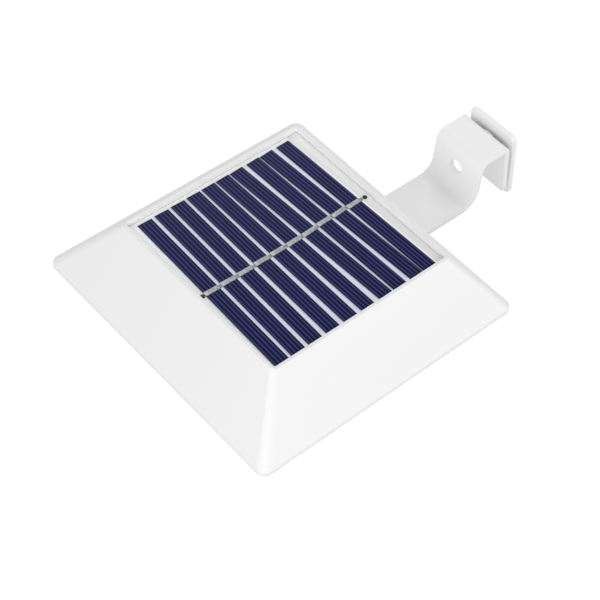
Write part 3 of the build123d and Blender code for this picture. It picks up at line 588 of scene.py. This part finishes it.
# %% [markdown]
# ## Where the strips lie
# The panel is ten strips cut from one silicon wafer and laid by hand, so each is turned and shifted
# a little; those small errors are what makes the panel look real. Each strip is drawn straight, about
# its own middle, and then turned and moved to its place, so that all ten share one shape.

# %% Places and turns of the ten strips
STRIP_LENGTH, STRIP_WIDTH, STRIP_PITCH = 74.2, 5.85, 7.1
STRIP_X, STRIP_Y = 0.6, -1.35
STRIP_TURNS = np.radians([-1.7, -1.9, -1.6, -1.0, -0.1, 1.0, 2.45, 1.6, 2.8, 1.5])
STRIP_SHIFTS = np.array([0.0, 0.0, 0.1, 0.3, 0.4, 0.4, 0.5, 0.5, 0.35, 0.15])
STRIPS = len(STRIP_TURNS)
rows = np.arange(STRIPS) - (STRIPS - 1) / 2
strip_places = STRIP_Y + STRIP_SHIFTS + rows * STRIP_PITCH


def on_strip(points, index):
    """Turn points (along, across, up from the board) by a strip's angle and move them to its place."""
    along, across, up = np.moveaxis(np.asarray(points, float), -1, 0)
    turn = STRIP_TURNS[index]
    x = STRIP_X + along * np.cos(turn) - across * np.sin(turn)
    y = strip_places[index] + along * np.sin(turn) + across * np.cos(turn)
    return in_frame(np.stack([x, y, board_top + up], -1))


print("strip middles (mm):", strip_places.round(2))

# %% [markdown]
# ## The solar cell strips
# A strip is a thin plate with broken edges. Its pattern runs along the strip, not along the lamp, so
# it gets two maps of its own: one counts the printed lines, called fingers, across the strip, and one
# measures from its middle in millimetres. Each strip was cut at a slightly different place between the
# fingers, which shifts its first map.

# %% Ten strips with broken edges
CELL_THICK, BROKEN_EDGE = 0.3, 0.06
FINGER_PITCH = 1.42
FINGER_SHIFTS = np.array([-0.15, -0.15, -0.15, -0.1, -0.1, -0.1, 0.0, 0.2, 0.25, 0.25])


def strip_rings():
    """A rectangle carried along the strip; the top comes down by the broken edge at all four sides."""
    half_length, half_width = STRIP_LENGTH / 2, STRIP_WIDTH / 2
    along = np.array([-half_length, BROKEN_EDGE - half_length, half_length - BROKEN_EDGE, half_length])
    across = np.array([-half_width, -half_width, BROKEN_EDGE - half_width])
    across = np.concatenate([across, -across[::-1]])
    on_top = np.array([0, 1, 1, 1, 1, 0])
    to_end = half_length - np.abs(along)[:, None]
    to_edge = half_width - np.abs(across)[None, :]
    up = on_top * (CELL_THICK - BROKEN_EDGE + np.minimum(BROKEN_EDGE, np.minimum(to_end, to_edge)))
    grid_along, grid_across = np.broadcast_arrays(along[:, None], across[None, :])
    return np.stack([grid_along, grid_across, up], -1)


strip = strip_rings()
strip_shells = [on_strip(strip, index) for index in range(STRIPS)]
strip_maps = {
    "lines": [(strip[..., :2] - [0, shift]) / FINGER_PITCH for shift in FINGER_SHIFTS],
    "from_middle": [strip[..., :2]] * STRIPS,
}
print("strips:", STRIPS, "fingers on each:", round(STRIP_WIDTH / FINGER_PITCH, 1))

# %% [markdown]
# ## The silicon
# A cut wafer of silicon is nearly black; the thin layer that keeps it from reflecting turns it navy.
# Fine silver lines, printed along each strip to collect the current, show as paler blue lines.
# They are about a tenth of a millimetre wide, too fine for this picture, and are drawn wider and
# softer. Crystals a few millimetres wide shift the blue a little. The laser that cut the strips
# burnt the layer away along the edges, so a narrow border is nearly black, and the cut itself is bare
# silicon, a plain grey that keeps the narrow gaps pale. A clear film lies over it all.

# %% Navy silicon with printed lines
# In the map of lines one pitch is 1, so a line lies a half away from the middle between two lines.
HALF_PITCH = 0.5
FINGER_SOFT = 0.32
CRYSTAL_MM = 4.0
BORDER_MM = 0.5
strip_halves = (STRIP_LENGTH / 2, STRIP_WIDTH / 2)
material, tree, place, surface = start("antireflective_silicon")
pattern = add(tree, "UVMap", uv_map="lines").outputs["UV"]
across = add(tree, "SeparateXYZ", {"Vector": pattern}).outputs["Y"]
from_between = add(tree, "Math", {0: across, 1: HALF_PITCH}, operation="PINGPONG").outputs["Value"]
line = add(tree, "MapRange", {
    "Value": from_between, "From Min": HALF_PITCH - FINGER_SOFT, "From Max": HALF_PITCH,
}, interpolation_type="SMOOTHSTEP").outputs["Result"]
crystal = add(tree, "TexVoronoi", {"Vector": place, "Scale": per_mm(CRYSTAL_MM)}).outputs["Color"]
shade = add(tree, "SeparateColor", {"Color": crystal}).outputs["Red"]
colour = add(tree, "Mix", {
    "Factor": shade, MIX_A: linear("#070A30"), MIX_B: linear("#0B0F3E"),
}, data_type="RGBA").outputs[MIX_COLOUR]
from_middle = add(tree, "UVMap", uv_map="from_middle").outputs["UV"]
border = near_sides(tree, from_middle, strip_halves, BORDER_MM)
cut = near_sides(tree, from_middle, strip_halves, BROKEN_EDGE)
for mask, tone in ((line, "#3C4174"), (border, "#040516"), (cut, "#9AA0B2")):
    colour = add(tree, "Mix", {
        "Factor": mask, MIX_A: colour, MIX_B: linear(tone),
    }, data_type="RGBA").outputs[MIX_COLOUR]
finish_with(tree, surface, {
    "Base Color": colour, "Roughness": 0.35, "IOR": 1.45, "Specular IOR Level": 0.1})
finishes["solar_silicon"] = material
make_piece("cell_strips", strip_shells, "solar_silicon", "lamp", "solar_cells", maps=strip_maps)

# %% [markdown]
# ## The soldered tabs
# Across each strip runs a flat tinned copper tab that carries the current to the next one: it lies
# on its strip, steps down at the edge and crosses the gap on the board. It is a flat rounded section
# carried along that stepped path, wide over the strip and narrow in the gap. A row of plain boxes
# would miss the step and the soft solder edge.

# %% Ten tabs that step down to the board
TAB_OFFSETS = np.array([0.3, 0.4, 0.55, 0.4, 0.35, 0.4, 0.3, -0.2, -0.25, -0.1])
TAB_WIDTH, LINK_WIDTH, TAB_THICK, LINK_CLEARANCE = 1.8, 1.4, 0.15, 0.1
SOLDER_RADIUS, SOLDER_NEAR_Y, SOLDER_FAR_Y = 0.85, -37.2, 36.1
SECTION_POWER, END_SHARE, STEP_RUN = 0.5, 0.8, 0.4
strip_edge = STRIP_WIDTH / 2
stops = np.append(strip_places[1:] - strip_edge, SOLDER_FAR_Y - SOLDER_RADIUS)
link_reaches = stops - (strip_places + strip_edge) - LINK_CLEARANCE


def ease(value):
    """Smooth step from 0 to 1: three squares less two cubes of the clipped value."""
    value = np.clip(value, 0, 1)
    return value * value * (3 - 2 * value)


def tab_rings(reach, stations=60, around=20):
    """A rounded flat section carried over strip, step and gap; width and height ease between levels."""
    along = np.linspace(-strip_edge, strip_edge + reach, stations)[:, None]
    drop = ease((along - strip_edge) / STEP_RUN)
    middle = CELL_THICK * (1 - drop) + TAB_THICK / 2
    wide = TAB_WIDTH + (LINK_WIDTH - TAB_WIDTH) * ease((along - strip_edge + STEP_RUN) / STEP_RUN)
    ends = np.minimum(along + strip_edge, strip_edge + reach - along)
    rounding = END_SHARE + (1 - END_SHARE) * np.sqrt(ease(ends / TAB_THICK))
    angle = np.linspace(0, 2 * np.pi, around, endpoint=False)[None, :]
    flat = np.sign(np.cos(angle)) * np.abs(np.cos(angle)) ** SECTION_POWER
    thick = np.sign(np.sin(angle)) * np.abs(np.sin(angle)) ** SECTION_POWER
    across = wide / 2 * rounding * flat
    up = middle + TAB_THICK / 2 * rounding * thick
    return np.stack([across, np.broadcast_to(along, up.shape), up], -1)


tabs = [tab_rings(reach) for reach in link_reaches]
tab_shells = [on_strip(tabs[index] + [TAB_OFFSETS[index], 0, 0], index) for index in range(STRIPS)]
tab_maps = {"along_tab": [rings[..., :2] / STRIP_WIDTH for rings in tabs]}
print("links across the gaps (mm):", link_reaches.round(2))

# %% [markdown]
# ## Tin on the tabs
# Dipped tin is a soft grey metal, dull where the solder flowed. Where it pooled, at the edge where each
# tab was first touched down, it is painted brighter: a painted highlight. A map along the tab places that
# highlight, and darkens the link in the gap with painted shade. The patches could be painted, but a noise
# follows no pixel grid and needs no file.

# %% Tinned copper
FLOW_MM, FLOW_RELIEF_MM = 0.8, 0.04
PATCH_LOW, PATCH_HIGH = 0.3, 0.7
POOL_START, POOL_END, POOL_HIGHLIGHT_SHARE = -0.5, -0.2, 0.45
LINK_SHADE_START, LINK_SHADE_END, LINK_SHADE_SHARE = 0.42, 0.56, 0.4
material, tree, place, surface = start("tinned_copper")
flow = add(tree, "TexNoise", {"Vector": place, "Scale": per_mm(FLOW_MM), "Detail": 3.0}).outputs["Fac"]
patch = add(tree, "MapRange", {
    "Value": flow, "From Min": PATCH_LOW, "From Max": PATCH_HIGH,
}).outputs["Result"]
along = add(tree, "UVMap", uv_map="along_tab").outputs["UV"]
along = add(tree, "SeparateXYZ", {"Vector": along}).outputs["Y"]
# Painted highlight: brighter tin at the edge where each tab starts, where the solder pooled.
pool_highlight = add(tree, "MapRange", {
    "Value": along, "From Min": POOL_START, "From Max": POOL_END, "To Min": POOL_HIGHLIGHT_SHARE, "To Max": 0.0,
}).outputs["Result"]
# Painted shade: the link darkens where it crosses the gap between strips.
link_shade = add(tree, "MapRange", {
    "Value": along, "From Min": LINK_SHADE_START, "From Max": LINK_SHADE_END, "To Min": 0.0, "To Max": LINK_SHADE_SHARE,
}).outputs["Result"]
colour = linear("#85868A")
for mask, tone in ((patch, "#BEBFC1"), (pool_highlight, "#E4E4E2"), (link_shade, "#77766F")):
    colour = add(tree, "Mix", {
        "Factor": mask, MIX_A: colour, MIX_B: linear(tone),
    }, data_type="RGBA").outputs[MIX_COLOUR]
gloss = add(tree, "MapRange", {"Value": flow, "To Min": 0.4, "To Max": 0.6}).outputs["Result"]
relief = add(tree, "Bump", {"Height": flow, "Distance": FLOW_RELIEF_MM * MM}).outputs["Normal"]
finish_with(tree, surface, {"Base Color": colour, "Roughness": gloss, "Metallic": 0.3, "Normal": relief})
finishes["tinned_copper"] = material
make_piece("soldered_tabs", tab_shells, "tinned_copper", "lamp", "bus_ribbon",
           smooth_degrees=50, maps=tab_maps)

# %% [markdown]
# ## The two end joints
# Molten solder draws itself into a low rounded dome. A quarter of an ellipse, made a little fuller at
# its shoulder and turned about the axis, has that shape, and a flat disc closes it on the board. A
# squashed sphere would come close, but its flanks would be thinner.

# %% Two domes
SOLDER_HEIGHT = 0.6
DOME_POWER = 0.8


def dome_rings(stations=12, around=32):
    """An ellipse quarter turned about the axis: radius by the cosine, height by a power of the sine."""
    lift = np.linspace(0, np.pi / 2, stations)[:-1, None]
    angle = np.linspace(0, 2 * np.pi, around, endpoint=False)[None, :]
    radius = SOLDER_RADIUS * np.cos(lift)
    up = SOLDER_HEIGHT * np.sin(lift) ** DOME_POWER
    return np.stack(np.broadcast_arrays(radius * np.cos(angle), radius * np.sin(angle), up), -1)


dome_places = [
    (STRIP_X + TAB_OFFSETS[0], SOLDER_NEAR_Y, board_top),
    (STRIP_X + TAB_OFFSETS[-1], SOLDER_FAR_Y, board_top),
]
dome_shells = [in_frame(dome_rings() + np.array(spot)) for spot in dome_places]
make_piece("solder_domes", dome_shells, "solder", "lamp", "solder_joints", smooth_degrees=40)

# %% [markdown]
# ## A screw as one surface
# A screw is a turned shape with two things that are not round: the thread and the driver's cross.
# Both can be written into the same turned surface. Along the shank the radius falls and rises with
# the height, shifted by the angle, which makes a helix; on the head the height falls where a cross of
# two bars covers the disc. A Screw modifier and a Boolean cut could do it too, but would leave ragged
# faces where they meet. All of it stays inside the plain CAD screw.

# %% A turned surface with thread and cross
CROSS_ARM_SHARE, CROSS_SLOT_SHARE, CROSS_DEPTH_SHARE = 0.55, 0.25, 0.45
WALL_SHARE = 0.12
THREAD_DEPTH_SHARE = 0.61
TIP_SHARE = 0.35
RINGS_PER_TURN = 10


def cross_depth(x, y, radius):
    """Depth of the driver's cross: two bars, each the product of two soft edges, and the deeper one wins."""
    arm, slot, wall = (share * radius for share in (CROSS_ARM_SHARE, CROSS_SLOT_SHARE, WALL_SHARE))
    long_x, long_y = ease((arm - np.abs(x)) / wall), ease((arm - np.abs(y)) / wall)
    thin_x, thin_y = ease((slot - np.abs(x)) / wall), ease((slot - np.abs(y)) / wall)
    return CROSS_DEPTH_SHARE * radius * np.maximum(long_x * thin_y, long_y * thin_x)


def screw_rings(head, shank_radius, length, pitch, around=64):
    """A head profile from the axis outwards, then a shank whose radius follows a helix, then a taper."""
    head_radius = head[:, 0].max()
    steps = int(np.ceil(length / pitch * RINGS_PER_TURN))
    down = np.linspace(0, length, steps)
    profile = np.concatenate([head, np.stack([np.full(steps, shank_radius), -down], -1)])
    angle = np.linspace(0, 2 * np.pi, around, endpoint=False)[None, :]
    radius = np.broadcast_to(profile[:, :1], (len(profile), around)).copy()
    up = np.broadcast_to(profile[:, 1:], (len(profile), around)).copy()
    turns = down[:, None] / pitch - angle / (2 * np.pi)
    groove = THREAD_DEPTH_SHARE * pitch * 2 * np.abs(turns - np.round(turns))
    to_tip = ease((length - down[:, None]) / pitch)
    fade = to_tip * ease(down[:, None] / pitch)
    radius[len(head):] -= groove * fade + shank_radius * TIP_SHARE * (1 - to_tip)
    top = up[:len(head)] > head[:, 1].max() - CROSS_DEPTH_SHARE * head_radius
    cut = cross_depth(radius[:len(head)] * np.cos(angle), radius[:len(head)] * np.sin(angle), head_radius)
    up[:len(head)] -= np.where(top, cut, 0)
    return np.stack([radius * np.cos(angle), radius * np.sin(angle), up], -1)


print("depth of the cross, as a share of the head's radius:", cross_depth(0.0, 0.0, 1.0).round(2))

# %% [markdown]
# ## Screw heads
# A head is a profile from the axis to the rim. The pan head has a rounded edge and stands on its seat;
# the countersunk one is flat on top and runs down a cone into the shank. The profile starts a little
# off the axis, and the shell's end point closes the middle. A finished screw is drawn upright and then
# turned to its own axis.

# %% Two head profiles and the turn to an axis
AXIS_SHARE = 0.02
PAN_ROUND_SHARE = 0.7
HEAD_STATIONS = 44


def pan_head(radius, height):
    """Head profile: a rounded pan from the axis to the rim, then straight down to the seat."""
    share = np.linspace(AXIS_SHARE, 1, HEAD_STATIONS)
    round_radius = PAN_ROUND_SHARE * height
    inside = np.clip((share * radius - (radius - round_radius)) / round_radius, 0, 1)
    crown = height - round_radius + round_radius * np.sqrt(1 - inside ** 2)
    return np.concatenate([np.stack([share * radius, crown], -1), [[radius, 0.0]]])


def flush_head(radius, depth, shank_radius):
    """Countersunk profile: flat across the top, then a short rim; the cone joins it to the shank."""
    share = np.linspace(AXIS_SHARE, 1, HEAD_STATIONS)
    flat = np.stack([share * radius, np.zeros(HEAD_STATIONS)], -1)
    return np.concatenate([flat, [[radius, radius - shank_radius - depth]]])


def aimed(points, place, axis):
    """Stand points on a place (mm) with their own Z along an axis: a plain turn of basis."""
    axis = np.asarray(axis, float) / np.linalg.norm(axis)
    side = np.array([1.0, 0.0, 0.0])
    return in_frame(points @ np.stack([side, np.cross(axis, side), axis]) + np.asarray(place, float))


print("rings in a pan head:", len(pan_head(1.0, 1.0)))

# %% [markdown]
# ## The clamp screw
# The clamp screw is an M4 machine screw, square to the hook's leaning leg. It turns, so it rides on its
# own body, and its place comes from that body's joint: the joint stands on the leg's face, and the head
# sits a strap's thickness and a little clearance behind it.

# %% One screw on its own body
M4_PITCH, M4_RADIUS = 0.7, 2.0
LEG_LEAN = np.radians(8.3)
CLAMP_HEAD, CLAMP_LENGTH, HEAD_SEAT = (3.8, 2.4), 10.0, 2.05
leg_out = np.array([0.0, np.cos(LEG_LEAN), np.sin(LEG_LEAN)])
turn_joint = next(joint for joint in frame["joints"] if joint["name"] == "clamp_screw_turn")
leg_face = from_foot(turn_joint["pos_m"])
clamp_screw = screw_rings(pan_head(*CLAMP_HEAD), M4_RADIUS, CLAMP_LENGTH, M4_PITCH)
clamp_shells = [aimed(clamp_screw, leg_face - HEAD_SEAT * leg_out, -leg_out)]
make_piece("clamp_screw_threaded", clamp_shells, "zinc_steel", "clamp_screw", "clamp_screw",
           smooth_degrees=35)

# %% [markdown]
# ## The screws below
# Two pan head screws hold the strap to the floor plate, and four countersunk ones hold the floor plate
# to the housing. All point upwards, so their heads look down. The countersunk screw's length counts
# from its flat top, so its shank is squeezed into what the head leaves of it.

# %% Two strap screws and four base screws
DOWN = (0, 0, -1)
STRAP_HEAD, STRAP_LENGTH, ARM_UNDER = (3.6, 2.2), 8.0, -4.2
STRAP_SCREW_Y = (31.0, 45.0)
strap_screw = screw_rings(pan_head(*STRAP_HEAD), M4_RADIUS, STRAP_LENGTH, M4_PITCH)
strap_shells = [aimed(strap_screw, (0, y, ARM_UNDER), DOWN) for y in STRAP_SCREW_Y]
make_piece("strap_screws_threaded", strap_shells, "zinc_steel", "lamp", "strap_screws", smooth_degrees=35)

BASE_HEAD, BASE_RADIUS, BASE_LENGTH, BASE_PITCH = (2.8, 1.5), 1.4, 10.2, 0.8
PLATE_UNDER, CORNER = -2.2, 45.0
base_head = flush_head(*BASE_HEAD, BASE_RADIUS)
base_screw = screw_rings(base_head, BASE_RADIUS, BASE_LENGTH, BASE_PITCH, around=40)
# The shank is a view of the screw's heights below its head, so changing it changes the screw.
shank = base_screw[len(base_head):, :, 2]
shank *= (BASE_LENGTH - BASE_HEAD[1]) / BASE_LENGTH
shank -= BASE_HEAD[1]
corners = [(x, y, PLATE_UNDER) for x in (-CORNER, CORNER) for y in (-CORNER, CORNER)]
base_shells = [aimed(base_screw, spot, DOWN) for spot in corners]
make_piece("base_screws_threaded", base_shells, "zinc_steel", "lamp", "base_screws", smooth_degrees=35)

# %% [markdown]
# ## The switch knob
# The knob is a small block with ribs across it, so that a fingertip can push it. Its section is a
# rectangle with rounded lower corners, carried along the way it slides, and the lower edge rises and
# falls with a cosine to make the ribs. An array of small bars would leave seams between them.

# %% A ribbed knob
RIB_MM, RIB_DEPTH, KNOB_ROUND = 0.8, 0.22, 0.4
knob_low, knob_high = (from_foot(corner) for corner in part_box("switch_knob"))
knob_middle, knob_half = (knob_high + knob_low) / 2, (knob_high - knob_low) / 2


def knob_rings(stations=49, bow=6):
    """A rounded lower section carried along X; its lowest height follows a cosine of the place."""
    along = np.linspace(knob_low[0], knob_high[0], stations)[:, None]
    angle = np.linspace(0, np.pi / 2, bow)
    side = np.append(knob_half[1], knob_half[1] - KNOB_ROUND + KNOB_ROUND * np.cos(angle))
    across = np.concatenate([side, -side[::-1]]) + knob_middle[1]
    phase = (along - knob_middle[0]) / RIB_MM
    bottom = knob_low[2] + RIB_DEPTH * (1 - np.cos(2 * np.pi * phase)) / 2
    lift = KNOB_ROUND * (1 - np.sin(angle))
    top = np.full((stations, 1), knob_high[2])
    up = np.concatenate([top, bottom + lift, bottom + lift[::-1], top], 1)
    return np.stack(np.broadcast_arrays(along, across, up), -1)


make_piece("switch_knob_ribbed", [in_frame(knob_rings())], "switch_plastic", "switch_knob", "switch_knob",
           smooth_degrees=40)

# %% [markdown]
# ## The studio floor
# The photograph has a pure white ground and no shadow, as when a product is cut out. A white sheet
# would do, but it would throw light back on the lamp and flatten its shading. So the floor glows a
# little brighter than white, lies well below the lamp, and is hidden from light that bounces off the
# lamp's faces. It casts no shadow, so the world still lights the lamp from below, and it is clear from
# below, so that a view of the underside works.

# %% A glowing floor
FLOOR_DROP, FLOOR_HALF = 0.12, 6.0
FLOOR_GLOW = 1.05
floor_level = cad_box[0][2] - FLOOR_DROP
floor_corners = np.array([(-1, -1), (1, -1), (1, 1), (-1, 1)], float) * FLOOR_HALF
floor_points = np.column_stack([floor_corners, np.full(len(floor_corners), floor_level)])
floor_mesh = bpy.data.meshes.new("studio_floor")
floor_mesh.from_pydata(floor_points, [], [(0, 1, 2, 3)])
floor = bpy.data.objects.new("studio_floor", floor_mesh)
floor.visible_diffuse = False
floor.visible_glossy = False
floor.visible_shadow = False
bpy.context.scene.collection.objects.link(floor)
material, tree, place, surface = start("white_light_table")
glow = add(tree, "Emission", {"Color": linear("#FFFFFF"), "Strength": FLOOR_GLOW}).outputs["Emission"]
clear = add(tree, "BsdfTransparent").outputs["BSDF"]
behind = add(tree, "NewGeometry").outputs["Backfacing"]
shown = add(tree, "MixShader", {"Fac": behind, 1: glow, 2: clear}).outputs["Shader"]
tree.links.new(shown, surface)
floor_mesh.materials.append(material)
print("floor at (m):", round(floor_level, 4))

# %% [markdown]
# ## The studio lights
# The white faces of the lamp differ by only a few grey levels, so the lights were placed and weighed
# by those levels. Two stand at the corner that faces the camera, one above the other, and draw the
# bright line down that edge. One high in front and one at the far right shape the slopes. One at the
# far left leaves the hook's lower bend in shade. All are large discs, because a small light would
# leave hard shadows.

# %% Five soft lights
LAMP_CENTRE = np.array([0.0, -0.08, -0.005])
LIGHT_DISTANCE = 0.9
# Each light: the direction from the lamp's centre to it, its width in metres and its power in watts.
LIGHTS = {
    "soft_corner": ((0.68, -0.66, 0.25), 0.35, 1.8),
    "soft_corner_high": ((0.65, -0.63, 0.42), 0.25, 0.65),
    "soft_front": ((0.0, -0.75, 0.65), 0.7, 1.8),
    "soft_far_right": ((0.6, 0.6, 0.5), 0.7, 2.12),
    "soft_far_left": ((-0.7, 0.5, 0.5), 0.5, 1.83),
}
for name, (direction, width, watts) in LIGHTS.items():
    data = bpy.data.lights.new(name, "AREA")
    data.shape = "DISK"
    data.size = width
    data.energy = watts
    out = np.array(direction) / np.linalg.norm(direction)
    side = np.cross((0.0, 0.0, 1.0), out)
    side /= np.linalg.norm(side)
    light = bpy.data.objects.new(name, data)
    light.matrix_world = placed(side, np.cross(out, side), out, LAMP_CENTRE + out * LIGHT_DISTANCE)
    bpy.context.scene.collection.objects.link(light)
print("lights:", list(LIGHTS))

# %% [markdown]
# ## The light from all around
# A studio's white walls send light from every side. A picture of a room could be the world, but two
# plain greys are enough: one from above, and a slightly brighter one from below, where a table would
# throw light back. They meet in a soft horizon. The Standard view shows the picked colours as they are.

# %% A plain grey world
SKY_GLOW, GROUND_GLOW = 0.5, 0.656
HORIZON_SOFT = 0.35
world = bpy.data.worlds.new("studio")
world.use_nodes = True
tree = world.node_tree
tree.nodes.clear()
toward = add(tree, "TexCoord").outputs["Generated"]
height = add(tree, "SeparateXYZ", {"Vector": toward}).outputs["Z"]
glow = add(tree, "MapRange", {
    "Value": height, "From Min": -HORIZON_SOFT, "From Max": HORIZON_SOFT,
    "To Min": GROUND_GLOW, "To Max": SKY_GLOW,
}).outputs["Result"]
backdrop = add(tree, "Background", {"Color": linear("#FFFFFF"), "Strength": glow}).outputs["Background"]
add(tree, "OutputWorld", {"Surface": backdrop})
bpy.context.scene.world = world
bpy.context.scene.view_settings.view_transform = "Standard"
print("world: sky", SKY_GLOW, "ground", GROUND_GLOW)
